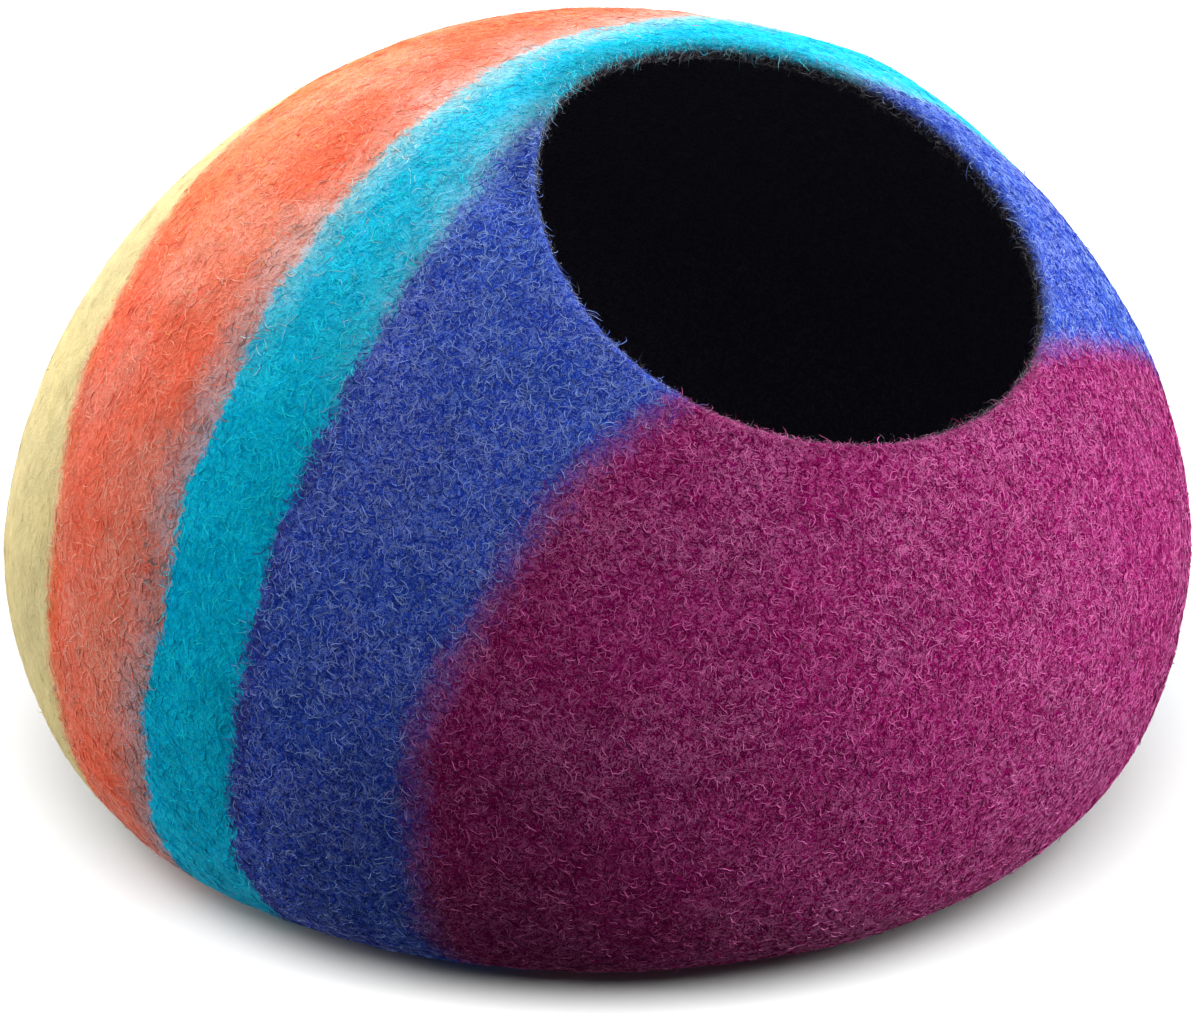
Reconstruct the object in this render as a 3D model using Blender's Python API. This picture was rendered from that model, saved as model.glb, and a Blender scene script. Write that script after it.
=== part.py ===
"""Felt cat cave: one seamless pod of thick wool felt with a round opening in its front.

Metres, +Z up. The pod rests on its flat base at z = 0, its opening faces -Y and up,
and the middle of its bounding box stands over the origin.
"""

import math

import bmesh
import bpy
from mathutils import Vector

# The pod's side view: widest at the waist, with a superellipse above it and another below
WAIST_RADIUS = 0.230
WAIST_HEIGHT = 0.107
HEIGHT = 0.302
BASE_RADIUS = 0.140
CROWN_POWERS = (2.23, 1.64)  # of the radius and of the height, above the waist
BELLY_POWERS = (3.0, 2.0)  # the same two, below the waist
CROWN_LEAN = (0.0034, -0.0025)  # how far the top stands off the base's middle, in x and y
PRESSED_FLAT = 0.0003  # felt nearer the floor than this lies on it

# The wool
WALL = 0.006
EDGE_ROUND = 0.0026  # how far the cut edge is rounded over, from each side
EDGE_STEPS = 3

# The opening: a near circle, cut square to an axis that rises from the pod's middle
OPENING_RISE = math.radians(50.8)
OPENING_HALF_WIDTH = 0.097
OPENING_HALF_HEIGHT = 0.098
OPENING_EGG = -0.066  # below zero, the lower half is the wider one
HEART = Vector((0.0, 0.0, 0.120))  # where the axis starts

# Hand-felted unevenness: soft swellings, and hollows where the height is below zero.
# Each lies in a direction from the heart, given by its turn from the front and its rise.
LUMPS = (  # turn (degrees, + towards +X), rise (degrees), spread (degrees), height
    (86, 50, 15, 0.0030),
    (215, 37, 24, -0.0026),
    (57, 9, 16, 0.0014),
    (53, -5, 14, -0.0008),
    (228, 12, 20, 0.0016),
    (244, -24, 20, 0.0012),
    (172, 62, 22, 0.0014),
    (330, 10, 30, 0.0008),
    (20, 20, 20, 0.0010),
    (120, 5, 22, 0.0014),
    (160, 15, 26, -0.0014),
)
LUMPS_END = 0.045  # below this height the swellings fade out towards the floor

# The bands of dyed wool, front to back. A band ends at y = back + lean * h + bend * h * h,
# where h is the height above the middle of the side.
SIDE_MIDDLE = 0.140
BANDS = (  # name, linear colour, back, lean, bend
    ("magenta", (0.45, 0.03, 0.22), -0.1445, -0.19, 0.0),
    ("blue", (0.05, 0.06, 0.42), -0.0760, 0.0, 1.35),
    ("turquoise", (0.00, 0.34, 0.48), -0.0345, 0.0, 1.35),
    ("coral", (0.80, 0.13, 0.06), 0.0440, 0.13, 2.4),
    ("yellow", (0.80, 0.76, 0.30), math.inf, 0.0, 0.0),
)
INSIDE_COLOUR = (0.006, 0.005, 0.009)
FELT_ROUGHNESS = 0.95

SPOKES = 72  # steps round the opening
RINGS = 33  # steps from the opening's edge to the far side
HALVINGS = 40  # of the search for the surface along a ray
FARTHEST = 0.5  # no point of the pod is this far from the heart


def is_inside(point):
    """Whether a point is inside the pod's plain turned shape."""
    radius = math.hypot(point.x, point.y)
    if point.z >= WAIST_HEIGHT:
        rise = (point.z - WAIST_HEIGHT) / (HEIGHT - WAIST_HEIGHT)
        return (radius / WAIST_RADIUS) ** CROWN_POWERS[0] + rise ** CROWN_POWERS[1] < 1
    drop = (WAIST_HEIGHT - point.z) / WAIST_HEIGHT
    past_base = max(radius - BASE_RADIUS, 0) / (WAIST_RADIUS - BASE_RADIUS)
    return past_base ** BELLY_POWERS[0] + drop ** BELLY_POWERS[1] < 1


def reach(start, direction):
    """How far a ray from inside the plain shape goes before it leaves it."""
    near, far = 0.0, FARTHEST
    for _ in range(HALVINGS):
        middle = (near + far) / 2
        if is_inside(start + direction * middle):
            near = middle
        else:
            far = middle
    return near


def towards(turn, rise):
    """The unit vector at a turn from the front, towards +X, and a rise above the floor."""
    level = math.cos(rise)
    return Vector((level * math.sin(turn), -level * math.cos(turn), math.sin(rise)))


def lump_height(direction):
    """How far the swellings and hollows move the felt that lies in this direction."""
    total = 0.0
    for turn, rise, spread, height in LUMPS:
        away = direction.angle(towards(math.radians(turn), math.radians(rise)))
        total += height * math.exp(-((away / math.radians(spread)) ** 2))
    return total


def smooth_step(value):
    value = min(max(value, 0.0), 1.0)
    return value * value * (3 - 2 * value)


def felt_point(direction):
    """The outer surface in a direction from the heart, uneven, leaning and flat underneath."""
    plain = HEART + direction * reach(HEART, direction)
    free = smooth_step(plain.z / LUMPS_END)
    point = plain + direction * (lump_height(direction) * free)
    up = max(point.z - WAIST_HEIGHT, 0) / (HEIGHT - WAIST_HEIGHT)
    point.x += CROWN_LEAN[0] * up * up
    point.y += CROWN_LEAN[1] * up * up
    if point.z < PRESSED_FLAT:
        point.z = 0.0
    return point


def opening_axes():
    """The opening's own directions: across it, along its face and out of it."""
    out = towards(0, OPENING_RISE)
    across = Vector((1, 0, 0))
    return across, out.cross(across), out


def opening_edge(step):
    """The direction from the heart to one point of the opening's edge."""
    across, along, out = opening_axes()
    angle = math.tau * step / SPOKES
    wide = OPENING_HALF_WIDTH * math.cos(angle) * (1 + OPENING_EGG * math.sin(angle))
    high = OPENING_HALF_HEIGHT * math.sin(angle)
    start = HEART + across * wide + along * high
    return (start + out * reach(start, out) - HEART).normalized()


def outer_skin():
    """The outer surface as rings from the opening's edge to the far side, with band colours."""
    _, _, out = opening_axes()
    skin = bmesh.new()
    spokes = []
    for step in range(SPOKES):
        edge = opening_edge(step)
        opened = edge.angle(out)
        aside = (edge - out * edge.dot(out)).normalized()
        spoke = []
        for ring in range(RINGS):
            angle = opened + (math.pi - opened) * ring / RINGS
            direction = out * math.cos(angle) + aside * math.sin(angle)
            spoke.append(skin.verts.new(felt_point(direction)))
        spokes.append(spoke)
    far_side = skin.verts.new(felt_point(-out))
    for step, spoke in enumerate(spokes):
        following = spokes[(step + 1) % SPOKES]
        for ring in range(RINGS - 1):
            corners = (spoke[ring], spoke[ring + 1], following[ring + 1], following[ring])
            skin.faces.new(corners)
        skin.faces.new((spoke[-1], far_side, following[-1]))
    for face in skin.faces:
        face.material_index = band_at(face.calc_center_median())
    return skin


def band_at(point):
    """The index of the band that a point of the outer surface lies in."""
    height = point.z - SIDE_MIDDLE
    for index, (_, _, back, lean, bend) in enumerate(BANDS):
        if point.y < back + lean * height + bend * height * height:
            return index
    return len(BANDS) - 1


def felt_material(name, colour):
    material = bpy.data.materials.new(name)
    material.use_nodes = True
    shader = material.node_tree.nodes["Principled BSDF"]
    shader.inputs["Base Color"].default_value = (*colour, 1)
    shader.inputs["Roughness"].default_value = FELT_ROUGHNESS
    shader.inputs["Metallic"].default_value = 0.0
    return material


def centre_on_box(skin):
    """Moves the skin so that the middle of its box stands over the origin."""
    xs = [vertex.co.x for vertex in skin.verts]
    ys = [vertex.co.y for vertex in skin.verts]
    middle = Vector((min(xs) + max(xs), min(ys) + max(ys), 0)) / 2
    for vertex in skin.verts:
        vertex.co -= middle


def felt_shell():
    skin = outer_skin()
    centre_on_box(skin)
    mesh = bpy.data.meshes.new("felt_shell")
    skin.to_mesh(mesh)
    skin.free()
    mesh.shade_smooth()
    for name, colour, *_ in BANDS:
        mesh.materials.append(felt_material("wool_" + name, colour))
    mesh.materials.append(felt_material("wool_inside", INSIDE_COLOUR))
    shell = bpy.data.objects.new("felt_shell", mesh)
    bpy.context.collection.objects.link(shell)

    wall = shell.modifiers.new("wall", "SOLIDIFY")
    wall.thickness = WALL
    wall.offset = -1
    wall.use_even_offset = True
    wall.use_quality_normals = True
    wall.material_offset = len(BANDS)
    wall.material_offset_rim = len(BANDS)

    cut_edge = shell.modifiers.new("cut_edge", "BEVEL")
    cut_edge.limit_method = "ANGLE"
    cut_edge.angle_limit = math.radians(60)
    cut_edge.width = EDGE_ROUND
    cut_edge.segments = EDGE_STEPS
    return shell


def main():
    for old in list(bpy.data.objects):
        bpy.data.objects.remove(old)
    felt_shell()


main()
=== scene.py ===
"""Dresses the felt cat cave: its fine felted surface, its loose fibres, a studio and a camera."""

import math
from typing import NamedTuple

import bmesh
import bpy
import numpy as np
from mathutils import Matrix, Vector, noise


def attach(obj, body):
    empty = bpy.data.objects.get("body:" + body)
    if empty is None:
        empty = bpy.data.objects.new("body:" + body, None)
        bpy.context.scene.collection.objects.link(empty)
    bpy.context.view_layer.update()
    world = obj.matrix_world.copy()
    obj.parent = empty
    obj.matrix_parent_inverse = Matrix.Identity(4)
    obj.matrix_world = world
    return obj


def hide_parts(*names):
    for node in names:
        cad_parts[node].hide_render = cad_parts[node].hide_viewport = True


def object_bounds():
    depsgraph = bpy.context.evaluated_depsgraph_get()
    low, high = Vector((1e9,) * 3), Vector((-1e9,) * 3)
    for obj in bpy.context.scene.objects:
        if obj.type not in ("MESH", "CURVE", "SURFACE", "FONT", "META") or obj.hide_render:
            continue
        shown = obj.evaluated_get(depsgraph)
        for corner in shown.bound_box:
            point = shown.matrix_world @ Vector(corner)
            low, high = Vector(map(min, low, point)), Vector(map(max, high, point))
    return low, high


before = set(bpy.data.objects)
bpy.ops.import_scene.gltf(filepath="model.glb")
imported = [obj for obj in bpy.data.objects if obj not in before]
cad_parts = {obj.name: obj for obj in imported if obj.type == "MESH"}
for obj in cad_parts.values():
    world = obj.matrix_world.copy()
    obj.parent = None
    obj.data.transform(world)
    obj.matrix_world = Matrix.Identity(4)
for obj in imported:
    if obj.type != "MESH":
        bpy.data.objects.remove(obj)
CAD_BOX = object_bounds()

# ---------------------------------------------------------------- the pod's own sizes, in metres
WAIST_RADIUS = 0.230
WAIST_HEIGHT = 0.107
HEIGHT = 0.302
BASE_RADIUS = 0.140
CROWN_POWERS = (2.23, 1.64)  # of the radius and of the height, above the waist
BELLY_POWERS = (3.0, 2.0)  # the same two, below the waist
CROWN_LEAN = (0.0034, -0.0025)
PRESSED_FLAT = 0.0003
WALL = 0.006

OPENING_RISE = math.radians(50.8)
OPENING_HALF_WIDTH = 0.097
OPENING_HALF_HEIGHT = 0.098
OPENING_EGG = -0.066
HEART = np.array((0.0, 0.0, 0.120))
EDGE_DISTANCE = 0.16  # roughly, from the heart to the cut edge

# Swellings and hollows as in the solid, but for the first two: loose wool stands a few
# millimetres higher there, at the back left
LUMPS = (  # turn (degrees, + towards +X), rise (degrees), spread (degrees), height
    (215, 40, 25, 0.0006),
    (240, -14, 13, 0.0024),
    (86, 50, 15, 0.0030),
    (57, 9, 16, 0.0014),
    (53, -5, 14, -0.0008),
    (228, 12, 20, 0.0016),
    (244, -24, 20, 0.0012),
    (172, 62, 22, 0.0014),
    (330, 10, 30, 0.0008),
    (20, 20, 20, 0.0010),
    (120, 5, 22, 0.0014),
    (160, 15, 26, -0.0014),
)
LUMPS_END = 0.045

# Bands, front to back. A band ends at y = back + lean * h + bend * h * h + skew * x, and h is the
# height above the middle of the side. sway is how far its edge wanders.
SIDE_MIDDLE = 0.140
BANDS = (  # name, back, lean, bend, skew, sway
    ("magenta", -0.1450, -0.174, 0.0, 0.0, 0.0015),
    ("blue", -0.0820, -0.039, 1.44, 0.0, 0.0010),
    ("turquoise", -0.0101, -0.047, 0.96, 0.126, 0.0010),
    ("coral", 0.0375, 0.220, 2.00, 0.0, 0.0020),
    ("yellow", math.inf, 0.0, 0.0, 0.0, 0.0),
)
SKEW_END = 0.06  # further right than this the edges skew no more
PUSHES = (  # to the left of the opening: band, height above the middle, spread, how far back
    ("magenta", 0.062, 0.016, 0.0036),
    ("magenta", -0.070, 0.032, -0.0042),
    ("blue", 0.152, 0.015, 0.0100),
    ("blue", 0.030, 0.016, 0.0038),
    ("blue", -0.113, 0.012, -0.0050),
    ("turquoise", 0.140, 0.025, -0.0022),
    ("turquoise", 0.040, 0.018, 0.0017),
    ("turquoise", -0.010, 0.018, -0.0046),
    ("turquoise", -0.088, 0.022, 0.0032),
    ("coral", 0.046, 0.022, 0.0080),
)
# To the right of the opening the magenta ends further back, and above the middle of the side its
# edge runs steeply forward to the rim
RIGHT_FROM, RIGHT_TO = -0.02, 0.04
RIGHT_BACK, RIGHT_BEND = 0.030, -8.9
NAMES = tuple(band[0] for band in BANDS)

# ---------------------------------------------------------------- steps of the fine mesh
SPOKES = 330
OUTER_RINGS = 140
EDGE_ARCS = 8
INNER_RINGS = 56
HALVINGS = 36  # of the span in which a ray leaves the plain shape
FARTHEST = 0.5  # further than any point is from another

# ---------------------------------------------------------------- unevenness
# Layers of smooth noise, each as (wavelength, strength, seed)
RELIEF = ((0.034, 0.00090, 5.0), (0.013, 0.00035, 5.0))  # soft pills and dimples
RELIEF_END = 0.012  # they fade out below this height
CUT_BULGE = ((0.015, 0.22, 2.0), (0.005, 0.12, 4.0))  # the cut edge is fuller or flatter in places
INNER_DENTS = ((0.030, 0.0006, 9.0),)
INNER_DENTS_END = 0.030
WANDER = ((0.060, 1.0, 7.3), (0.022, 0.5, 3.1))  # each band's seeds are these times its number
CLOUDS = ((0.042, 0.95, 31.0), (0.017, 0.50, 37.0))


def is_inside(points):
    """Which points are inside the pod's plain turned shape."""
    radius = np.hypot(points[..., 0], points[..., 1])
    height = points[..., 2]
    rise = np.maximum(height - WAIST_HEIGHT, 0) / (HEIGHT - WAIST_HEIGHT)
    crown = (radius / WAIST_RADIUS) ** CROWN_POWERS[0] + rise ** CROWN_POWERS[1]
    drop = np.maximum(WAIST_HEIGHT - height, 0) / WAIST_HEIGHT
    past_base = np.maximum(radius - BASE_RADIUS, 0) / (WAIST_RADIUS - BASE_RADIUS)
    belly = past_base ** BELLY_POWERS[0] + drop ** BELLY_POWERS[1]
    return np.where(height >= WAIST_HEIGHT, crown, belly) < 1


def reach(starts, directions):
    """How far rays from inside the plain shape go before they leave it."""
    near = np.zeros(directions.shape[:-1])
    far = np.full(directions.shape[:-1], FARTHEST)
    for _ in range(HALVINGS):
        middle = (near + far) / 2
        within = is_inside(starts + directions * middle[..., None])
        near = np.where(within, middle, near)
        far = np.where(within, far, middle)
    return near


def towards(turn, rise):
    """The unit vector at a turn from the front, towards +X, and a rise above the floor."""
    level = math.cos(rise)
    return np.array((level * math.sin(turn), -level * math.cos(turn), math.sin(rise)))


def unit(vectors):
    return vectors / np.linalg.norm(vectors, axis=-1, keepdims=True)


def smooth_step(values):
    values = np.clip(values, 0, 1)
    return values * values * (3 - 2 * values)


def lump_height(directions):
    total = np.zeros(directions.shape[:-1])
    for turn, rise, spread, height in LUMPS:
        centre = towards(math.radians(turn), math.radians(rise))
        away = np.arccos(np.clip(directions @ centre, -1, 1))
        total += height * np.exp(-((away / math.radians(spread)) ** 2))
    return total


def felt_points(directions):
    """The outer surface in each direction from the heart."""
    plain = HEART + directions * reach(HEART, directions)[..., None]
    free = smooth_step(plain[..., 2] / LUMPS_END)
    points = plain + directions * (lump_height(directions) * free)[..., None]
    up = np.maximum(points[..., 2] - WAIST_HEIGHT, 0) / (HEIGHT - WAIST_HEIGHT)
    points[..., 0] += CROWN_LEAN[0] * up * up
    points[..., 1] += CROWN_LEAN[1] * up * up
    points[..., 2] = np.where(points[..., 2] < PRESSED_FLAT, 0.0, points[..., 2])
    return points


OUT = towards(0, OPENING_RISE)
ACROSS = np.array((1.0, 0.0, 0.0))
ALONG = np.cross(OUT, ACROSS)


def opening_edges(angles):
    """The directions from the heart to points of the opening's edge."""
    wide = OPENING_HALF_WIDTH * np.cos(angles) * (1 + OPENING_EGG * np.sin(angles))
    high = OPENING_HALF_HEIGHT * np.sin(angles)
    starts = HEART + wide[:, None] * ACROSS + high[:, None] * ALONG
    outs = np.broadcast_to(OUT, starts.shape)
    return unit(starts + outs * reach(starts, outs)[:, None] - HEART)


def skin(rings, held_back):
    """Points and normals of the outer surface, as [ring, spoke], from the opening to the far side.

    The first ring lies held_back radians behind the cut edge. The last ring is short of the far
    side's own point, which is returned after it.
    """
    angles = np.arange(SPOKES) * math.tau / SPOKES
    edges = opening_edges(angles)
    opened = np.arccos(np.clip(edges @ OUT, -1, 1)) + held_back
    aside = unit(edges - (edges @ OUT)[:, None] * OUT)
    share = np.arange(rings)[:, None] / rings
    tilts = opened + (math.pi - opened) * share
    directions = np.cos(tilts)[..., None] * OUT + np.sin(tilts)[..., None] * aside
    points = felt_points(directions)
    far_side = felt_points(-OUT[None])[0]
    around = np.roll(points, -1, axis=1) - np.roll(points, 1, axis=1)
    inward = np.gradient(np.concatenate([points, np.broadcast_to(far_side, (1, SPOKES, 3))]), axis=0)
    normals = unit(np.cross(inward[:-1], around))
    return points, normals, far_side


def noise_at(points, wavelength, seed=0.0):
    """Smooth noise of about -1 to 1 at each point."""
    flat = points.reshape(-1, 3) / wavelength + seed
    values = np.array([noise.noise(Vector(point)) for point in flat])
    return values.reshape(points.shape[:-1])


def layered(points, layers, start=0.0, number=1):
    """start plus some layers of noise, each given as its wavelength, its strength and its seed."""
    return sum((strength * noise_at(points, wavelength, number * seed)
                for wavelength, strength, seed in layers), start)


def band_edges(points):
    """How far each point lies behind the back edge of each band but the last, and the edges' slopes."""
    height = points[..., 2] - SIDE_MIDDLE
    aside = np.minimum(points[..., 0], SKEW_END)
    right = smooth_step((points[..., 0] - RIGHT_FROM) / (RIGHT_TO - RIGHT_FROM))
    behind, slopes = [], []
    for index, (name, back, lean, bend, skew, sway) in enumerate(BANDS[:-1]):
        edge = back + lean * height + bend * height * height + skew * aside
        slope = lean + 2 * bend * height
        if name == "magenta":
            above = np.maximum(height, 0)
            edge += right * (RIGHT_BACK + RIGHT_BEND * above * above)
            slope = slope + right * 2 * RIGHT_BEND * above
        for _, level, spread, far in (push for push in PUSHES if push[0] == name):
            off = (height - level) / spread
            moved = (1 - right) * far * np.exp(-off * off)
            edge += moved
            slope = slope - moved * 2 * off / spread
        wander = layered(points, WANDER, number=index)
        behind.append((points[..., 1] - edge) / np.sqrt(1 + slope * slope) + sway * wander)
        slopes.append(slope)
    return np.stack(behind, -1), np.stack(slopes, -1)


def cloud_at(points):
    """The wool's cloudiness, 0 to 1, in patches a few centimetres wide."""
    return smooth_step(layered(points, CLOUDS, 0.5))


class Felt:
    """The fine shell's points in rows from the outer far side, over the cut edge, to the inner one."""

    def __init__(self):
        held_back = WALL / 2 / EDGE_DISTANCE
        outer, normals, far_side = skin(OUTER_RINGS, held_back)
        relief = layered(outer, RELIEF)
        free = smooth_step(outer[..., 2] / RELIEF_END)
        self.outer_normals = normals
        self.outer = outer + normals * (relief * free)[..., None]

        cut, cut_normals = outer[0], normals[0]
        outward = unit(outer[0] - outer[1])
        outward = unit(outward - (outward * cut_normals).sum(-1, keepdims=True) * cut_normals)
        centres = cut - cut_normals * WALL / 2
        bulge = layered(cut, CUT_BULGE, 1.0)
        arcs = []
        for step in range(1, EDGE_ARCS):
            angle = math.pi * step / EDGE_ARCS
            sideways = math.cos(angle) * cut_normals
            forwards = math.sin(angle) * bulge[:, None] * outward
            arcs.append(centres + (sideways + forwards) * WALL / 2)
        self.arcs = np.array(arcs)
        self.cut, self.cut_normals, self.outward, self.centres = cut, cut_normals, outward, centres

        inner, inner_normals, _ = skin(INNER_RINGS, held_back)
        dents = layered(inner, INNER_DENTS) * smooth_step(inner[..., 2] / INNER_DENTS_END)
        self.inner = inner - inner_normals * (WALL + dents)[..., None]
        self.far_side = far_side
        self.inner_far_side = far_side - unit(far_side - HEART) * WALL
        self.centre()

    def centre(self):
        """Moves all of it so that it stands where the solid does."""
        low, high = self.outer.min((0, 1)), self.outer.max((0, 1))
        solid_low, solid_high = (np.array(corner) for corner in CAD_BOX)
        shift = (solid_low + solid_high - low - high) / 2
        shift[2] = 0
        for name in ("outer", "arcs", "inner", "far_side", "inner_far_side", "cut", "centres"):
            setattr(self, name, getattr(self, name) + shift)
        self.shift = shift

    def rows(self):
        return np.concatenate([self.outer[::-1], self.arcs, self.inner])

    def from_cut(self):
        """How far the outer rows' points lie from the cut edge, and 0 for the other rows' points."""
        outer = np.linalg.norm(self.outer - self.cut, axis=-1)[::-1]
        return np.concatenate([outer, np.zeros((EDGE_ARCS - 1 + INNER_RINGS, SPOKES))])

    def inner_side(self):
        """0 outside, 1 inside, and from one to the other over the cut edge, for each row."""
        edge = np.arange(1, EDGE_ARCS) / EDGE_ARCS
        return np.concatenate([np.zeros(OUTER_RINGS), edge, np.ones(INNER_RINGS)])


def shell_mesh(felt):
    rows = felt.rows()
    count = len(rows)
    points = np.concatenate([rows.reshape(-1, 3), felt.far_side[None], felt.inner_far_side[None]])
    first, last = count * SPOKES, count * SPOKES + 1
    spoke = np.arange(SPOKES)
    following = (spoke + 1) % SPOKES
    faces = []
    for row in range(count - 1):
        here, there = row * SPOKES, (row + 1) * SPOKES
        faces += np.stack([here + spoke, here + following, there + following, there + spoke], -1).tolist()
    faces += np.stack([np.full(SPOKES, first), following, spoke], -1).tolist()
    end = (count - 1) * SPOKES
    faces += np.stack([np.full(SPOKES, last), end + spoke, end + following], -1).tolist()
    mesh = bpy.data.meshes.new("felt")
    mesh.from_pydata(points, [], faces)
    mesh.shade_smooth()
    side = np.concatenate([np.repeat(felt.inner_side(), SPOKES), [0.0, 1.0]])
    store(mesh, "inner_side", side)
    behind, _ = band_edges(points)
    for index, name in enumerate(NAMES[:-1]):
        store(mesh, "past_" + name, behind[:, index])
    store(mesh, "cloud", cloud_at(points))
    # painted shade beside the cut edge under the crown, which the felt's material multiplies in
    from_cut = np.concatenate([felt.from_cut().ravel(), [FARTHEST, FARTHEST]])
    store(mesh, "rim_shade", rim_shade(from_cut, points[:, 2]))
    return mesh


def store(mesh, name, values):
    layer = mesh.attributes.new(name, "FLOAT", "POINT")
    layer.data.foreach_set("value", np.asarray(values, np.float32))


# ---------------------------------------------------------------- materials
class Nodes:
    """Short names for a material's nodes."""

    def __init__(self, name):
        self.material = bpy.data.materials.new(name)
        self.material.use_nodes = True
        self.tree = self.material.node_tree
        self.shader = self.tree.nodes["Principled BSDF"]

    def node(self, kind, **settings):
        made = self.tree.nodes.new(kind)
        for key, value in settings.items():
            setattr(made, key, value)
        return made

    def give(self, socket, value):
        if isinstance(value, bpy.types.NodeSocket):
            self.tree.links.new(value, socket)
        elif socket.type == "RGBA" and len(value) == 3:
            socket.default_value = (*value, 1)
        else:
            socket.default_value = value

    def place(self):
        return self.node("ShaderNodeTexCoord").outputs["Object"]

    def attribute(self, name):
        return self.node("ShaderNodeAttribute", attribute_name=name).outputs["Fac"]

    def noise(self, scale, detail=2.0, roughness=0.5, distortion=0.0, place=None):
        made = self.node("ShaderNodeTexNoise")
        self.give(made.inputs["Vector"], place or self.place())
        made.inputs["Scale"].default_value = scale
        made.inputs["Detail"].default_value = detail
        made.inputs["Roughness"].default_value = roughness
        made.inputs["Distortion"].default_value = distortion
        return made.outputs["Fac"]

    def moved(self, offset):
        made = self.node("ShaderNodeMapping")
        self.give(made.inputs["Vector"], self.place())
        made.inputs["Location"].default_value = offset
        return made.outputs["Vector"]

    def maths(self, operation, first, second=0.0):
        made = self.node("ShaderNodeMath", operation=operation)
        for socket, value in zip(made.inputs, (first, second)):
            self.give(socket, value)
        return made.outputs[0]

    def swing(self, value, reach):
        """A noise's value about its middle, times reach."""
        return self.maths("MULTIPLY", self.maths("SUBTRACT", value, 0.5), reach)

    def between(self, value, low, high, to_low=0.0, to_high=1.0, kind="SMOOTHSTEP"):
        made = self.node("ShaderNodeMapRange", interpolation_type=kind)
        for name, given in zip(("Value", "From Min", "From Max", "To Min", "To Max"),
                               (value, low, high, to_low, to_high)):
            self.give(made.inputs[name], given)
        return made.outputs["Result"]

    def height(self):
        parts = self.node("ShaderNodeSeparateXYZ")
        self.give(parts.inputs[0], self.place())
        return parts.outputs["Z"]

    def fading(self, value, thickest, end, amount):
        """amount at thickest, fading to 0 at end, and quickly to 0 on the other side."""
        other = thickest - math.copysign(QUICK_FADE, end - thickest)
        sides = []
        for far in (end, other):
            low, high = (amount, 0.0) if far > thickest else (0.0, amount)
            sides.append(self.between(value, min(thickest, far), max(thickest, far), low, high))
        return self.maths("MINIMUM", *sides)

    def mix(self, share, first, second, blend="MIX"):
        made = self.node("ShaderNodeMix", data_type="RGBA", blend_type=blend)
        self.give(made.inputs["Factor"], share)
        self.give(made.inputs[6], first)
        self.give(made.inputs[7], second)
        return made.outputs[2]

    def strands(self, scale, width, place=None, distortion=1.3):
        """1 on thin curling lines, the contours of a distorted noise, and 0 between them."""
        field = self.noise(scale, 1.5, 0.55, distortion, place)
        away = self.maths("ABSOLUTE", self.maths("SUBTRACT", field, 0.5))
        return self.between(away, 0.0, width, 1.0, 0.0)

    def bump(self, height, strength, distance):
        made = self.node("ShaderNodeBump")
        self.give(made.inputs["Height"], height)
        made.inputs["Strength"].default_value = strength
        made.inputs["Distance"].default_value = distance
        self.give(self.shader.inputs["Normal"], made.outputs["Normal"])

    def wool(self, roughness, sheen, sheen_roughness, tint):
        """The plain sockets that all the wool shares."""
        self.shader.inputs["Roughness"].default_value = roughness
        self.shader.inputs["Specular IOR Level"].default_value = 0.0
        self.shader.inputs["Sheen Weight"].default_value = sheen
        self.shader.inputs["Sheen Roughness"].default_value = sheen_roughness
        self.shader.inputs["Sheen Tint"].default_value = (*tint, 1)


class Wool(NamedTuple):
    """Linear colours of one band's dyed wool, with the painted shade of its hollows."""

    deep: tuple  # painted shade: the darker colour of the felt's hollows, where shade falls
    face: tuple
    pale: tuple  # the palest fibres
    tint: tuple  # what the cloudy patches multiply it by
    web: float  # how strongly the pale fibres that are felted in show
    blend: float  # half the width over which it goes over into the next band


WOOL = {
    "magenta": Wool((0.165, 0.001, 0.060), (0.318, 0.006, 0.126), (0.900, 0.190, 0.545),
                    (0.94, 1.20, 1.00), 0.46, 0.0065),
    "blue": Wool((0.014, 0.032, 0.350), (0.022, 0.084, 0.670), (0.360, 0.550, 1.000),
                 (1.08, 0.94, 1.00), 0.42, 0.0018),
    "turquoise": Wool((0.000, 0.380, 0.680), (0.000, 0.570, 0.930), (0.020, 0.930, 1.000),
                      (1.00, 1.04, 1.02), 0.34, 0.0015),
    "coral": Wool((0.860, 0.098, 0.048), (0.985, 0.152, 0.078), (1.000, 0.380, 0.250),
                  (0.97, 1.50, 1.85), 0.28, 0.0060),
    "yellow": Wool((0.735, 0.620, 0.300), (0.770, 0.655, 0.335), (0.815, 0.725, 0.430),
                   (1.00, 0.98, 0.92), 0.08, 0.0040),
}


class Pile(NamedTuple):
    """The loose fibres that lie on one band."""

    per_cm2: float  # how many there are
    pale: float  # the share of them that is pale
    painted_highlight_up: float  # painted highlight: how much larger that share is where the felt faces up, towards the light from above
    length: tuple  # shortest and longest
    width: tuple  # thinnest and thickest
    curl: float  # what TURNS is multiplied by
    combed: float  # the share that runs up and down
    twist: float  # how far one rolls about its own run, in radians
    loft: float  # how high the highest arches off the felt
    stray: float  # how far some lie across the band's back edge


PILES = {
    "magenta": Pile(52, 0.31, 0.00, (0.0028, 0.0066), (0.00026, 0.00042),
                    0.85, 0.10, 0.45, 0.00040, 0.0020),
    "blue": Pile(52, 0.31, 0.12, (0.0030, 0.0070), (0.00025, 0.00040),
                 0.75, 0.15, 0.45, 0.00035, 0.0006),
    "turquoise": Pile(32, 0.16, 0.34, (0.0040, 0.0090), (0.00024, 0.00038),
                      0.45, 0.45, 0.35, 0.00020, 0.0004),
    "coral": Pile(24, 0.34, 0.00, (0.0040, 0.0090), (0.00028, 0.00046),
                  0.40, 0.55, 0.25, 0.00018, 0.0020),
    "yellow": Pile(11, 0.20, 0.00, (0.0040, 0.0100), (0.00026, 0.00044),
                   0.25, 0.60, 0.15, 0.00012, 0.0030),
}
CM2_IN_M2 = 10_000
FIBRE_STEPS = 4
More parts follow.
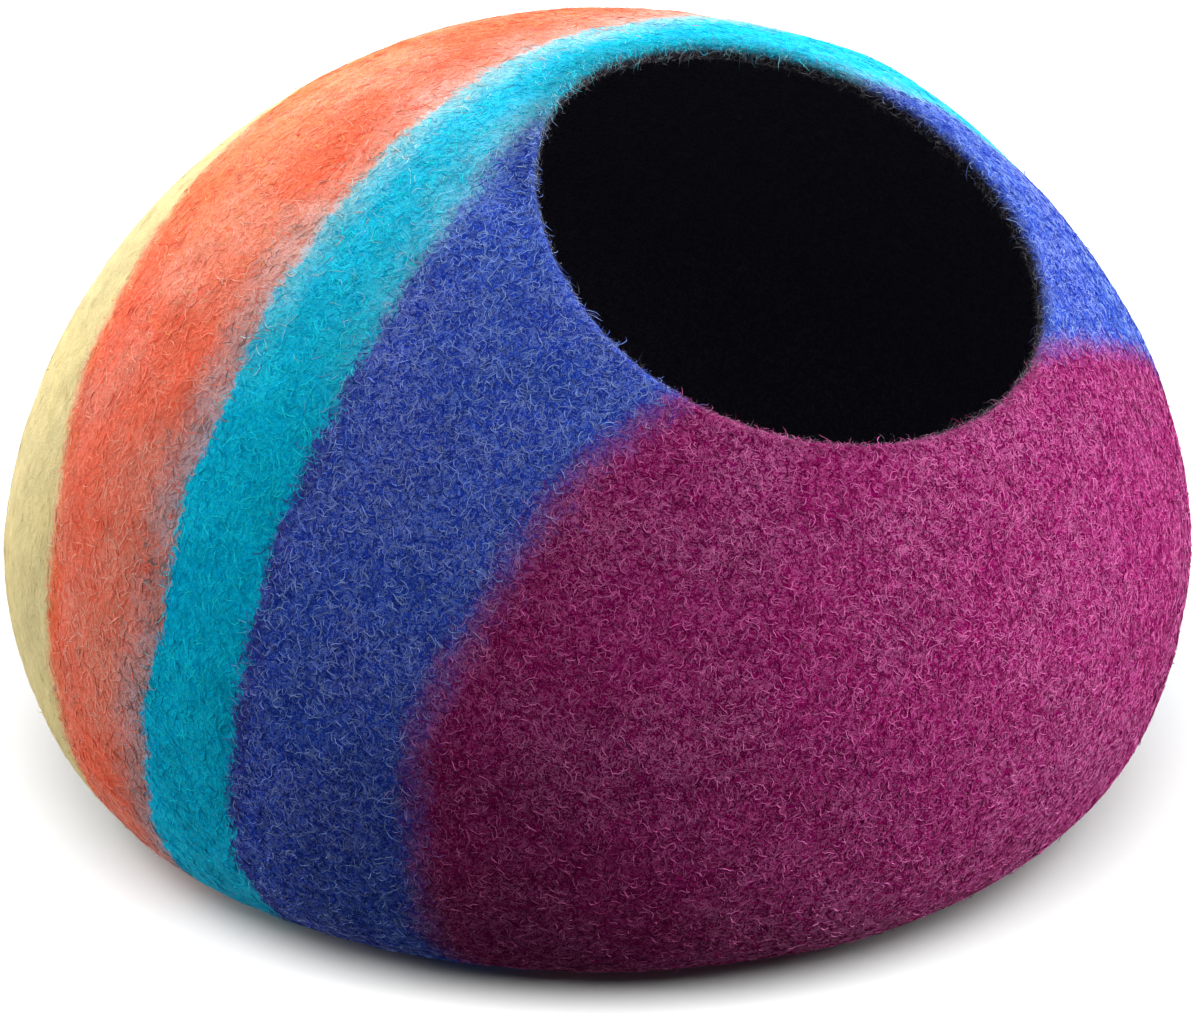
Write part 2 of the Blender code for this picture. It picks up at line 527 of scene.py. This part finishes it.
TAPER = 0.45  # the share of its width that a fibre loses towards its ends
TURNS = (0.80, 0.70)  # how far a fibre turns at all its steps alike, and at each by itself, in radians
MOST_FIBRES_IN_PIECE = 33_000
LOWEST_ROOT = 0.006  # fibres start on faces whose first corner is above this
LOWEST_POINT = 0.0002  # and none hangs lower than this
SUNK = 0.0001  # how deep their ends are felted in
LIGHT_TONES, DARK_TONES = (0.80, 1.0), (0.12, 0.56)
PALE_THINNER, PALE_HIGHER = 0.80, 0.00018  # the pale fibres are finer and lie on the others
STRAY_SHARE, STRAY_HEIGHTS, STRAY_BEND = 0.015, (0.0006, 0.0018), 1.6  # these stand up at one end
NEAR_BORDER = 0.0045  # fibres nearer a border than this run along it
NEAR_OPENING = 0.0065  # and those nearer the opening than this run round it
UP_SPREAD, BORDER_SPREAD, OPENING_SPREAD = 0.50, 0.35, 0.22  # how far they turn from that, in radians

# Fibres round the cut edge. An extra length or a rise is drawn with this mean and this most
EDGE_FIBRES = 8_000
LOOSE_AT_EDGE = 0.10  # the share of them that stands out, where the rest runs round the opening
LOOSE_SPREAD, FLAT_SPREAD = 1.20, 0.24
EDGE_TURNS = (0.45, 0.50)
EDGE_LENGTH, EDGE_EXTRA = 0.0020, (0.0018, 0.0070)
EDGE_WIDTHS = (0.00008, 0.00015)
EDGE_BOW, EDGE_LEAST_RISE, EDGE_RISE, EDGE_BEND = 0.0003, 0.0001, (0.0004, 0.0022), 1.3


class Carded(NamedTuple):
    """Mixed wool along a band's back edge, thickest near it and fading away from it."""

    band: str
    thickest: float  # how far behind the edge it is thickest
    end: float  # and where it ends
    low: float  # how much of it there is near the floor
    high: float  # and at the crown
    dark: tuple
    light: tuple


CARDED = (
    Carded("magenta", 0.0000, -0.0090, 0.40, 0.40, (0.180, 0.035, 0.300), (0.420, 0.180, 0.620)),
    Carded("blue", 0.0005, -0.0090, 0.00, 0.50, (0.080, 0.240, 0.640), (0.520, 0.740, 0.900)),
    # painted shade: a dark violet line along the blue's back edge near the floor
    Carded("blue", -0.0010, -0.0080, 0.50, 0.00, (0.040, 0.020, 0.220), (0.120, 0.100, 0.480)),
    Carded("blue", -0.0005, 0.0150, 0.00, 0.60, (0.020, 0.460, 0.700), (0.480, 0.760, 0.900)),
    Carded("blue", 0.0010, 0.0450, 0.00, 0.26, (0.000, 0.440, 0.660), (0.400, 0.920, 0.960)),
    Carded("turquoise", 0.0005, -0.0180, 0.00, 0.95, (0.180, 0.660, 0.760), (0.720, 0.890, 0.880)),
    Carded("turquoise", 0.0010, 0.0240, 0.80, 0.00, (0.250, 0.150, 0.145), (0.620, 0.490, 0.490)),
    Carded("turquoise", 0.0010, 0.0240, 0.00, 0.80, (0.860, 0.330, 0.230), (0.920, 0.560, 0.460)),
    Carded("coral", -0.0020, -0.0130, 0.45, 0.20, (0.900, 0.110, 0.030), (0.950, 0.300, 0.110)),
    Carded("coral", -0.0020, -0.1100, 0.00, 0.65, (0.980, 0.230, 0.070), (1.000, 0.480, 0.180)),
)
CARDED_LOW, CARDED_HIGH = 0.20, 0.29  # the heights between which it goes from low to high
QUICK_FADE = 0.0025  # how soon it ends on its other side
CARDED_SCATTER = 0.0012  # how far its loose fibres lie from where they belong
MOSTLY_DARK = 1.3  # a power that makes dark tones more common than light ones
RIM_REACH = 0.008  # painted shade: under the crown the cut edge's surroundings are darkened this far out, where the rim rolls away from the light
RIM_LEFT = 0.58  # and this share of the colour's brightness is left beside the edge
RIM_LOW, RIM_HIGH = 0.255, 0.295  # the heights between which this darkening comes in

INSIDE = ((0.020, 0.018, 0.028), (0.060, 0.055, 0.078))
EDGE_WOOL = ((0.030, 0.028, 0.036), (0.130, 0.125, 0.145), (0.460, 0.450, 0.480))

# The felt's textures, as scale (per metre), detail, roughness and distortion
MARL = (420, 3.0, 0.65, 0.6)
PATCHES = (75, 2.0, 0.5, 0.4)
PORES = (560, 2.0, 0.6)
MARL_SWING, PATCHES_SWING = 0.012, 0.010  # how far these two shift the bands' borders
INSIDE_FROM, INSIDE_TO, INSIDE_SWING = 0.22, 0.56, 0.35  # where over the cut edge the black sets in
WEB, SECOND_WEB = (430, 0.070), (350, 0.060)  # scale and width of the pale strands
SECOND_WEB_AT = (3.1, 1.7, 0.4)
CARDED_IN_FELT = 0.8  # how much of the mixed wool the felt shows, against 1 for its loose fibres


def felt_material():
    n = Nodes("wool_felt")
    marl = n.noise(*MARL)
    patches = n.noise(*PATCHES)
    loosening = n.maths("ADD", n.swing(marl, MARL_SWING), n.swing(patches, PATCHES_SWING))
    cloud = n.attribute("cloud")
    rising = n.between(n.height(), CARDED_LOW, CARDED_HIGH)
    deep, face, pale, tint, strength, _ = WOOL[NAMES[0]]
    for name, following in zip(NAMES, NAMES[1:]):
        past = n.maths("ADD", n.attribute("past_" + name), loosening)
        share = n.between(past, -WOOL[name].blend, WOOL[name].blend)
        deep = n.mix(share, deep, WOOL[following].deep)
        face = n.mix(share, face, WOOL[following].face)
        pale = n.mix(share, pale, WOOL[following].pale)
        tint = n.mix(share, tint, WOOL[following].tint)
        strength = n.between(share, 0, 1, strength, WOOL[following].web, "LINEAR")
        for row in (row for row in CARDED if row.band == name):
            low, high = row.low * CARDED_IN_FELT, row.high * CARDED_IN_FELT
            carded = n.fading(past, row.thickest, row.end, n.between(rising, 0, 1, low, high, "LINEAR"))
            middle = tuple((dark + light) / 2 for dark, light in zip(row.dark, row.light))
            deep = n.mix(carded, deep, row.dark)
            face = n.mix(carded, face, middle)
            pale = n.mix(carded, pale, row.light)

    web = n.maths("MAXIMUM", n.strands(*WEB), n.strands(*SECOND_WEB, n.moved(SECOND_WEB_AT)))
    pores = n.noise(*PORES)
    # painted shade: the felt's pores take the deep colour
    colour = n.mix(n.between(pores, 0.34, 0.56), deep, face)
    patchy = n.maths("MULTIPLY", strength, n.between(cloud, 0, 1, 0.80, 1.20, "LINEAR"))
    colour = n.mix(n.maths("MULTIPLY", web, patchy), colour, pale)
    colour = n.mix(1.0, colour, n.mix(cloud, (1.0, 1.0, 1.0), tint), "MULTIPLY")
    shade = n.node("ShaderNodeHueSaturation")
    n.give(shade.inputs["Color"], colour)
    # the value varies in patches, and the rim_shade attribute darkens it as painted shade beside the cut
    # edge under the crown
    n.give(shade.inputs["Value"],
           n.maths("MULTIPLY", n.between(patches, 0.3, 0.7, 0.92, 1.06), n.attribute("rim_shade")))

    over_edge = n.maths("ADD", n.attribute("inner_side"), n.swing(marl, INSIDE_SWING))
    inside = n.between(over_edge, INSIDE_FROM, INSIDE_TO)
    black = n.mix(n.maths("MULTIPLY", web, 0.5), INSIDE[0], INSIDE[1])
    n.give(n.shader.inputs["Base Color"], n.mix(inside, shade.outputs["Color"], black))
    n.wool(0.95, 0.13, 0.22, (0.98, 0.94, 0.98))
    height = n.maths("ADD", n.maths("MULTIPLY", web, 0.5), n.maths("MULTIPLY", pores, 0.6))
    n.bump(n.maths("ADD", height, n.maths("MULTIPLY", patches, 0.8)), 0.6, 0.0008)
    return n.material


def fibre_material():
    """Dyed wool whose colour each fibre carries itself."""
    n = Nodes("wool_fibre")
    dye = n.node("ShaderNodeAttribute", attribute_name="dye").outputs["Color"]
    shade = n.node("ShaderNodeHueSaturation")
    n.give(shade.inputs["Color"], dye)
    n.give(shade.inputs["Value"], n.between(n.noise(240, 2.0, 0.6), 0.3, 0.7, 0.86, 1.10))
    n.give(n.shader.inputs["Base Color"], shade.outputs["Color"])
    n.wool(0.90, 0.10, 0.22, (1.0, 0.96, 1.0))
    n.bump(n.noise(1600, 1.0), 0.15, 0.0001)
    return n.material


# ---------------------------------------------------------------- fibres
class Roots:
    """Random places on the outer surface, even over its area, above the floor."""

    def __init__(self, felt, random, per_m2):
        points, normals = felt.outer, felt.outer_normals
        over = np.roll(points, -1, axis=1)
        sides = np.cross(points[1:] - points[:-1], over[:-1] - points[:-1])
        area = np.linalg.norm(sides, axis=-1) * (points[:-1, :, 2] > LOWEST_ROOT)
        count = int(area.sum() * per_m2)
        chosen = random.choice(area.size, count, p=(area / area.sum()).ravel())
        ring, spoke = np.divmod(chosen, SPOKES)
        beside = (spoke + 1) % SPOKES
        down, along = random.random((2, count, 1))
        near = points[ring, spoke] * (1 - along) + points[ring, beside] * along
        far = points[ring + 1, spoke] * (1 - along) + points[ring + 1, beside] * along
        self.places = near * (1 - down) + far * down
        self.normals = unit(normals[ring, spoke] * (1 - down) + normals[ring + 1, spoke] * down)
        upward = np.array((0, 0, 1.0)) - self.normals * self.normals[:, 2:]
        self.up = unit(upward + 1e-6)
        self.side = np.cross(self.up, self.normals)
        self.from_opening = np.linalg.norm(self.places - felt.cut[spoke], axis=-1)
        self.round_opening = unit(felt.cut[beside] - felt.cut[spoke])

    def keep(self, kept):
        for name in ("places", "normals", "up", "side", "from_opening", "round_opening"):
            setattr(self, name, getattr(self, name)[kept])


def ribbons(places, normals, headings, turns, lengths, widths, heights, rolls):
    """Thin tapering ribbons: each starts at its place and takes the headings, in the surface.

    headings and turns are the first direction and the change at each step. heights are how far
    each step's end stands off the surface.
    """
    count, steps = turns.shape
    spots = [places]
    ways = []
    way = headings
    for step in range(steps):
        angle = turns[:, step, None]
        way = way * np.cos(angle) + np.cross(normals, way) * np.sin(angle)
        ways.append(way)
        spots.append(spots[-1] + way * (lengths / steps)[:, None])
    spots = np.stack(spots, 1) + normals[:, None] * heights[..., None]
    middle = unit(spots[:, 2:] - spots[:, :-2])
    across = unit(np.cross(normals[:, None], middle))
    lift = np.cross(middle, across)
    flat = across * np.cos(rolls)[:, None, None] + lift * np.sin(rolls)[:, None, None]
    taper = np.sin(np.linspace(0, math.pi, steps + 1)[1:-1]) * TAPER + (1 - TAPER)
    half = flat * (widths[:, None] * taper / 2)[..., None]
    left, right = spots[:, 1:-1] - half, spots[:, 1:-1] + half
    points = np.concatenate([spots[:, :1], left, right, spots[:, -1:]], 1)
    inner = steps - 1
    faces = [(0, 1 + inner, 1), (1 + inner - 1, 1 + 2 * inner - 1, 2 * inner + 1)]
    for step in range(inner - 1):
        a, b, c, d = 1 + step, 2 + step, 2 + inner + step, 1 + inner + step
        faces += [(a, d, c), (a, c, b)]
    faces = np.array(faces)
    every = points.shape[1]
    all_faces = faces[None] + (np.arange(count) * every)[:, None, None]
    return points.reshape(-1, 3), all_faces.reshape(-1, 3)


def fibre_piece(name, points, faces, dyes, material):
    mesh = bpy.data.meshes.new(name)
    mesh.from_pydata(points, [], faces)
    each = np.repeat(dyes, len(points) // len(dyes), axis=0)
    layer = mesh.attributes.new("dye", "FLOAT_COLOR", "POINT")
    layer.data.foreach_set("color", np.c_[each, np.ones(len(each))].astype(np.float32).ravel())
    mesh.shade_smooth()
    mesh.materials.append(material)
    piece = bpy.data.objects.new(name, mesh)
    bpy.context.collection.objects.link(piece)
    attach(piece, "root")
    return piece


def rim_shade(distances, heights):
    """How much of the wool's brightness the painted shade beside the cut edge leaves: all of it away from
    the crown.
    """
    rising = smooth_step((heights - RIM_LOW) / (RIM_HIGH - RIM_LOW))
    return 1 - (1 - RIM_LEFT) * rising * np.exp(-((distances / RIM_REACH) ** 2))


def toned(deep, face, pale, tones):
    """Colours from deep, the painted shade of the hollows, at a tone of 0, through the face's at one
    half, to pale at 1.
    """
    deep, face, pale = (np.asarray(colour) for colour in (deep, face, pale))
    low = np.clip(tones * 2, 0, 1)[:, None]
    high = np.clip(tones * 2 - 1, 0, 1)[:, None]
    return (deep * (1 - low) + face * low) * (1 - high) + pale * high


def column(name, bands):
    """One column of the table of piles, for fibres of these bands."""
    return np.array([getattr(PILES[band], name) for band in NAMES])[bands]


def dyed(random, places, behind, tones):
    """Each fibre's colour, from its tone, its height and how far it lies behind each border."""
    count = len(places)
    cloud = cloud_at(places)[:, None]
    rising = smooth_step((places[:, 2] - CARDED_LOW) / (CARDED_HIGH - CARDED_LOW))
    colours = np.zeros((count, 3))
    share = np.ones(count)
    for index, name in enumerate(NAMES):
        wool = WOOL[name]
        dye = toned(wool.deep, wool.face, wool.pale, tones) * (1 + (np.array(wool.tint) - 1) * cloud)
        colours += (dye - colours) * share[:, None]
        if index < len(NAMES) - 1:
            past = behind[:, index] + random.normal(0, PILES[name].stray, count)
            share = smooth_step(0.5 + past / (2 * wool.blend))
    for row in CARDED:
        past = behind[:, NAMES.index(row.band)] + random.normal(0, CARDED_SCATTER, count)
        onward = (past - row.thickest) * math.copysign(1, row.end - row.thickest)
        share = np.where(onward < 0, 1 + onward / QUICK_FADE, 1 - onward / abs(row.end - row.thickest))
        amount = row.low + (row.high - row.low) * rising
        chosen = np.flatnonzero(random.random(count) < amount * smooth_step(share))
        lightness = random.random((len(chosen), 1)) ** MOSTLY_DARK
        colours[chosen] = np.array(row.dark) * (1 - lightness) + np.array(row.light) * lightness
    return np.clip(colours, 0, 1)


def first_ways(random, roots, behind, slopes, band):
    """Which way each fibre starts: freely, up and down, along a near border or round the opening."""
    count = len(band)
    free = random.uniform(0, math.tau, count)
    up = random.normal(0, UP_SPREAD, count) + math.pi / 2 + math.pi * random.integers(0, 2, count)
    heading = np.where(random.random(count) < column("combed", band), up, free)
    nearest = np.abs(behind).argmin(-1)[:, None]
    slope = np.take_along_axis(slopes, nearest, -1)[:, 0]
    across = roots.side[:, 1] - slope * roots.side[:, 2], roots.up[:, 1] - slope * roots.up[:, 2]
    along_border = np.arctan2(across[0], -across[1]) + random.normal(0, BORDER_SPREAD, count)
    near = np.exp(-((np.abs(behind).min(-1) / NEAR_BORDER) ** 2))
    heading = np.where(random.random(count) < near, along_border, heading)
    upward, aside = ((roots.round_opening * way).sum(-1) for way in (roots.up, roots.side))
    round_opening = np.arctan2(upward, aside) + random.normal(0, OPENING_SPREAD, count)
    at_opening = np.exp(-((roots.from_opening / NEAR_OPENING) ** 4))
    heading = np.where(random.random(count) < at_opening, round_opening, heading)
    return roots.side * np.cos(heading)[:, None] + roots.up * np.sin(heading)[:, None]


def curls(random, count, whole, each):
    """How far each fibre turns at each of its steps."""
    return random.normal(0, whole, (count, 1)) + random.normal(0, each, (count, FIBRE_STEPS))


def standing(random, band, pale):
    """How far each fibre's steps stand off the felt: all arch a little, and strays end high."""
    count = len(band)
    along = np.linspace(0, 1, FIBRE_STEPS + 1)
    loft = column("loft", band) * random.uniform(0.3, 1.0, count)
    arch = np.sin(along * math.pi) * loft[:, None]
    stray = (random.random(count) < STRAY_SHARE)[:, None] * along ** STRAY_BEND
    heights = arch + stray * random.uniform(*STRAY_HEIGHTS, count)[:, None] - SUNK
    return heights + pale[:, None] * PALE_HIGHER


def surface_fibres(felt, material):
    """The curly fibres that lie on the felt, each dyed like the band it comes from."""
    random = np.random.default_rng(11)
    thickest = max(pile.per_cm2 for pile in PILES.values()) * CM2_IN_M2
    roots = Roots(felt, random, thickest)
    behind, slopes = band_edges(roots.places - felt.shift)
    strays = np.array([PILES[name].stray for name in NAMES[:-1]])
    band = (behind + random.normal(0, 1, behind.shape) * strays > 0).sum(-1)
    kept = random.random(len(band)) < column("per_cm2", band) * CM2_IN_M2 / thickest
    roots.keep(kept)
    behind, slopes, band = behind[kept], slopes[kept], band[kept]
    count = len(band)
    # painted highlight: more of the fibres are pale where the felt faces up, towards the light from above
    upward = smooth_step((roots.normals[:, 2] - 0.3) / 0.6)
    pale = random.random(count) < column("pale", band) + column("painted_highlight_up", band) * upward
    tones = np.where(pale, random.uniform(*LIGHT_TONES, count), random.uniform(*DARK_TONES, count))
    colours = dyed(random, roots.places - felt.shift, behind, tones)
    # painted shade beside the cut edge under the crown
    colours *= rim_shade(roots.from_opening, roots.places[:, 2])[:, None]

    headings = first_ways(random, roots, behind, slopes, band)
    curl = curls(random, count, *TURNS) * column("curl", band)[:, None]
    shortest, longest = column("length", band).T
    lengths = shortest + (longest - shortest) * random.random(count)
    thinnest, widest = column("width", band).T
    widths = (thinnest + (widest - thinnest) * random.random(count)) * np.where(pale, PALE_THINNER, 1)
    heights = standing(random, band, pale)
    rolls = random.normal(0, 1, count) * column("twist", band)

    pieces = []
    for index, name in enumerate(NAMES):
        mine = np.flatnonzero(band == index)
        parts = -(-len(mine) // MOST_FIBRES_IN_PIECE)
        for part, chosen in enumerate(np.array_split(mine, parts)):
            points, faces = ribbons(roots.places[chosen], roots.normals[chosen], headings[chosen],
                                    curl[chosen], lengths[chosen], widths[chosen], heights[chosen],
                                    rolls[chosen])
            points[:, 2] = np.maximum(points[:, 2], LOWEST_POINT)
            piece_name = f"fibres_{name}_{part + 1}"
            pieces.append(fibre_piece(piece_name, points, faces, colours[chosen], material))
    return pieces


def edge_fibres(felt, material):
    """Fine fibres round the cut edge: dyed like the felt outside, grey towards the dark inside."""
    random = np.random.default_rng(23)
    count = EDGE_FIBRES
    spoke = random.integers(0, SPOKES, count)
    side = random.uniform(0.02, 0.95, count)
    angle = side * math.pi
    out = (felt.cut_normals[spoke] * np.cos(angle)[:, None]
           + felt.outward[spoke] * np.sin(angle)[:, None])
    step_on = felt.cut[(spoke + 1) % SPOKES] - felt.cut[spoke]
    places = felt.centres[spoke] + step_on * random.random((count, 1)) + out * (WALL / 2)
    around = unit(step_on)
    loose = random.random(count) < LOOSE_AT_EDGE
    heading = random.normal(0, np.where(loose, LOOSE_SPREAD, FLAT_SPREAD))
    level = np.cross(around, out)
    headings = around * np.cos(heading)[:, None] + level * np.sin(heading)[:, None]
    curl = curls(random, count, *EDGE_TURNS)
    lengths = EDGE_LENGTH + np.minimum(random.exponential(EDGE_EXTRA[0], count), EDGE_EXTRA[1])
    widths = random.uniform(*EDGE_WIDTHS, count) * (1 + smooth_step((0.45 - side) / 0.25))
    along = np.linspace(0, 1, FIBRE_STEPS + 1)
    rise = np.minimum(random.exponential(EDGE_RISE[0], count), EDGE_RISE[1])
    rise = EDGE_LEAST_RISE + rise * smooth_step((side - 0.3) / 0.3)
    heights = np.sin(along * math.pi) * EDGE_BOW + along ** EDGE_BEND * rise[:, None]
    points, faces = ribbons(places, out, headings, curl, lengths, widths, heights,
                            random.normal(0, 0.6, count))
    behind, _ = band_edges(places - felt.shift)
    own = dyed(random, places - felt.shift, behind, random.uniform(0.4, 1.0, count))
    greys = toned(*EDGE_WOOL, random.random(count) ** MOSTLY_DARK)
    greyed = np.clip((side - 0.20) / 0.25 + random.normal(0, 0.2, count), 0.1, 1)[:, None]
    return fibre_piece("fibres_edge", points, faces, own * (1 - greyed) + greys * greyed, material)


# ---------------------------------------------------------------- the studio
LAMPS = (  # name, turn, rise, distance, size, light on a white surface facing it
    ("right", 55, 7, 2.0, 1.2, 1.08),
    ("upper_right", 40, 74, 2.0, 1.2, 0.22),
    ("front", 6, 42, 2.0, 1.2, 0.35),
    ("back", 162, 42, 2.0, 1.2, 1.58),
    ("back_left", -140, 2, 2.0, 1.2, 1.02),
)
FLOOR_LIGHTS = (  # name, turn, rise, width, light
    ("floor_front", -36, 60, math.radians(44), 4.30),
    ("floor_left", -113, 44, math.radians(44), 2.70),
    ("floor_right", 41, 44, math.radians(44), 2.70),
)
SKY, GROUND = 0.10, 0.08  # the soft light from above and from below
HOLLOW_LIGHT = 0.19  # the power of the faint light in the hollow, in watts
COVE_FLAT, COVE_CURVE, COVE_HEIGHT = 3.2, 1.2, 3.5
COVE_BENDS, COVE_STEPS = 12, 96
PAPER_GREY, PAPER_GLOW = 0.20, 0.85  # the floor's own colour, and the glow of the wall behind it

# The camera, for the photograph's view
CAMERA_TURN, CAMERA_RISE = math.radians(-36.3), math.radians(22)
CAMERA_DISTANCE, CAMERA_AIM = 1.5, 0.109
LENS, SENSOR = 114.3, 36


def white_paper():
    """The cove's paper, which glows more the higher it stands."""
    paper = Nodes("white_paper")
    paper.shader.inputs["Base Color"].default_value = (PAPER_GREY, PAPER_GREY, PAPER_GREY, 1)
    paper.shader.inputs["Roughness"].default_value = 0.9
    paper.shader.inputs["Emission Color"].default_value = (1, 1, 1, 1)
    glow = paper.between(paper.height(), 0.02, COVE_CURVE, 0.0, PAPER_GLOW)
    paper.give(paper.shader.inputs["Emission Strength"], glow)
    return paper.material


def white_cove():
    """A floor that curves up into a wall all round."""
    profile = bmesh.new()
    line = [profile.verts.new((0, 0, 0)), profile.verts.new((COVE_FLAT, 0, 0))]
    for step in range(1, COVE_BENDS + 1):
        angle = math.pi / 2 * step / COVE_BENDS
        out, up = math.sin(angle) * COVE_CURVE, (1 - math.cos(angle)) * COVE_CURVE
        line.append(profile.verts.new((COVE_FLAT + out, 0, up)))
    line.append(profile.verts.new((COVE_FLAT + COVE_CURVE, 0, COVE_HEIGHT)))
    edges = [profile.edges.new(pair) for pair in zip(line, line[1:])]
    bmesh.ops.spin(profile, geom=line + edges, cent=(0, 0, 0), axis=(0, 0, 1), angle=math.tau,
                   steps=COVE_STEPS, use_merge=True)
    mesh = bpy.data.meshes.new("cove")
    profile.to_mesh(mesh)
    profile.free()
    mesh.shade_smooth()
    mesh.materials.append(white_paper())
    cove = bpy.data.objects.new("cove", mesh)
    cove.visible_diffuse = cove.visible_shadow = False
    bpy.context.collection.objects.link(cove)
    return cove


def soft_sky():
    """The room's own light, a little stronger from above than from below."""
    world = bpy.data.worlds.new("studio")
    world.use_nodes = True
    tree = world.node_tree
    direction = tree.nodes.new("ShaderNodeTexCoord").outputs["Generated"]
    parts = tree.nodes.new("ShaderNodeSeparateXYZ")
    tree.links.new(direction, parts.inputs[0])
    height = tree.nodes.new("ShaderNodeMapRange")
    for socket, value in zip(height.inputs[1:5], (-0.3, 0.3, GROUND, SKY)):
        socket.default_value = value
    tree.links.new(parts.outputs["Z"], height.inputs["Value"])
    tree.links.new(height.outputs["Result"], tree.nodes["Background"].inputs["Strength"])
    tree.nodes["Background"].inputs["Color"].default_value = (1, 1, 1, 1)
    bpy.context.scene.world = world


def studio(pieces):
    """A white cove all round, and lamps that light the felt or the cove alone."""
    lit = {"felt": bpy.data.collections.new("felt"), "floor": bpy.data.collections.new("floor")}
    for piece in pieces:
        lit["felt"].objects.link(piece)
    lit["floor"].objects.link(white_cove())
    soft_sky()
    bpy.context.scene.view_settings.view_transform = "Standard"

    for name, turn, rise, distance, size, light_given in LAMPS:
        lamp = bpy.data.lights.new(name, "AREA")
        lamp.shape = "DISK"
        lamp.size = size
        lamp.energy = light_given * (math.pi * distance) ** 2
        hang(lamp, turn, rise, distance, lit["felt"])
    for name, turn, rise, width, light_given in FLOOR_LIGHTS:
        lamp = bpy.data.lights.new(name, "SUN")
        lamp.angle = width
        lamp.energy = light_given * math.pi
        hang(lamp, turn, rise, 3.0, lit["floor"])


def light_hollow(felt):
    """A faint light inside, in place of what the pale room sends in through the opening."""
    lamp = bpy.data.lights.new("in_hollow", "POINT")
    lamp.energy = HOLLOW_LIGHT
    lamp.shadow_soft_size = 0.05
    light = bpy.data.objects.new(lamp.name, lamp)
    light.visible_camera = False
    light.location = Vector(felt.shift + HEART)
    bpy.context.collection.objects.link(light)


def hang(lamp, turn, rise, distance, lit):
    """Hangs a lamp that faces the pod and lights only what is lit."""
    light = bpy.data.objects.new(lamp.name, lamp)
    light.visible_camera = False
    light.light_linking.receiver_collection = lit
    bpy.context.collection.objects.link(light)
    direction = Vector(towards(math.radians(turn), math.radians(rise)))
    light.location = direction * distance
    light.rotation_euler = direction.to_track_quat("Z", "Y").to_euler()


def camera(felt):
    """The photograph's view: a long lens, to the left of the opening and above it."""
    target = Vector(felt.shift) + Vector((0, 0, CAMERA_AIM))
    direction = Vector(towards(CAMERA_TURN, CAMERA_RISE))
    data = bpy.data.cameras.new("camera")
    data.sensor_width = SENSOR
    data.lens = LENS
    view = bpy.data.objects.new("camera", data)
    bpy.context.collection.objects.link(view)
    view.location = target + direction * CAMERA_DISTANCE
    view.rotation_euler = direction.to_track_quat("Z", "Y").to_euler()
    bpy.context.scene.camera = view


def main():
    felt = Felt()
    camera(felt)
    shell = bpy.data.objects.new("felt", shell_mesh(felt))
    shell.data.materials.append(felt_material())
    bpy.context.collection.objects.link(shell)
    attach(shell, "root")
    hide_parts("felt_shell")

    wool_fibre = fibre_material()
    pieces = surface_fibres(felt, wool_fibre)
    pieces.append(edge_fibres(felt, wool_fibre))
    studio([shell, *pieces])
    light_hollow(felt)


main()
